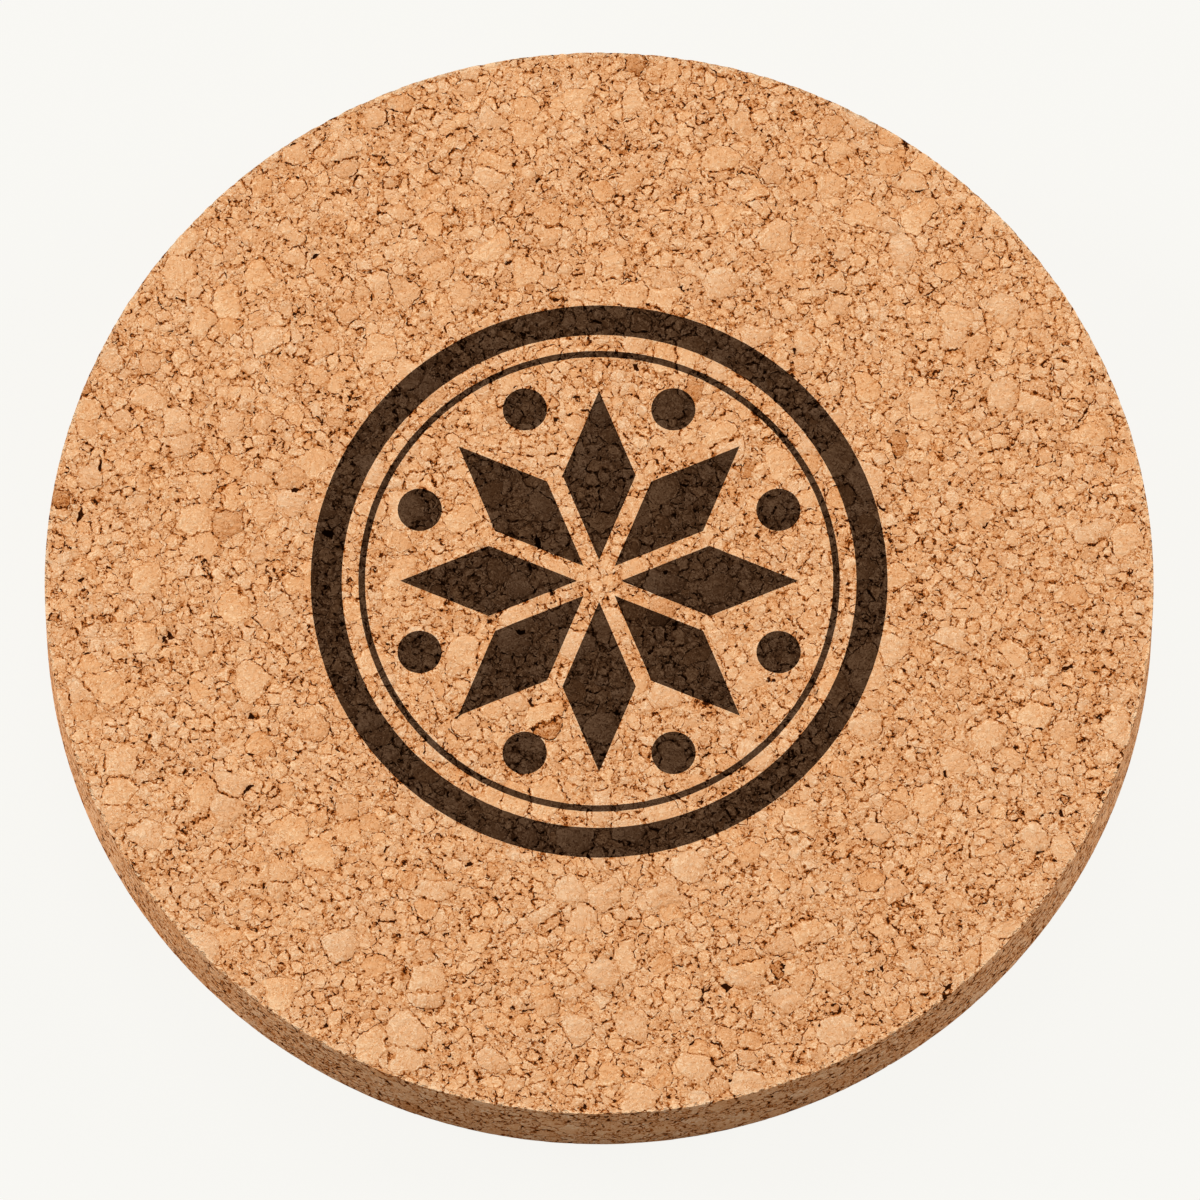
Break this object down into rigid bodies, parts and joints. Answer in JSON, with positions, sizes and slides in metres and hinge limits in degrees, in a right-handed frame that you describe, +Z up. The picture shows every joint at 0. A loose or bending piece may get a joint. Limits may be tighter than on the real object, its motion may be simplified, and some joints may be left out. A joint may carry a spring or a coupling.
{
  "type": "cork coaster",
  "caption": "Round thick coaster of bonded cork granules with a dark burnt star mark in its top face, to stand a cup or glass on.",
  "frame": {"origin": "centre of the underside, on the surface that the coaster lies on", "axes": "+Z up out of the marked top face along the disc's axis, +Y towards the tip of the first star diamond, +X to the right of it; -Y is the side nearest the viewer in the picture"},
  "size_m": [0.1, 0.1, 0.01],
  "materials": {
    "cork": "matte, cut face of bonded cork granules",
    "burnt_cork": "matte, dark burnt layer"
  },
  "bodies": {
    "root": {"cork_disc": "cork", "mark_outer_ring": "burnt_cork", "mark_hairline_ring": "burnt_cork", "mark_star_diamond_1": "burnt_cork", "mark_star_diamond_2": "burnt_cork", "mark_star_diamond_3": "burnt_cork", "mark_star_diamond_4": "burnt_cork", "mark_star_diamond_5": "burnt_cork", "mark_star_diamond_6": "burnt_cork", "mark_star_diamond_7": "burnt_cork", "mark_star_diamond_8": "burnt_cork", "mark_dot_1": "burnt_cork", "mark_dot_2": "burnt_cork", "mark_dot_3": "burnt_cork", "mark_dot_4": "burnt_cork", "mark_dot_5": "burnt_cork", "mark_dot_6": "burnt_cork", "mark_dot_7": "burnt_cork", "mark_dot_8": "burnt_cork"}
  },
  "joints": []
}
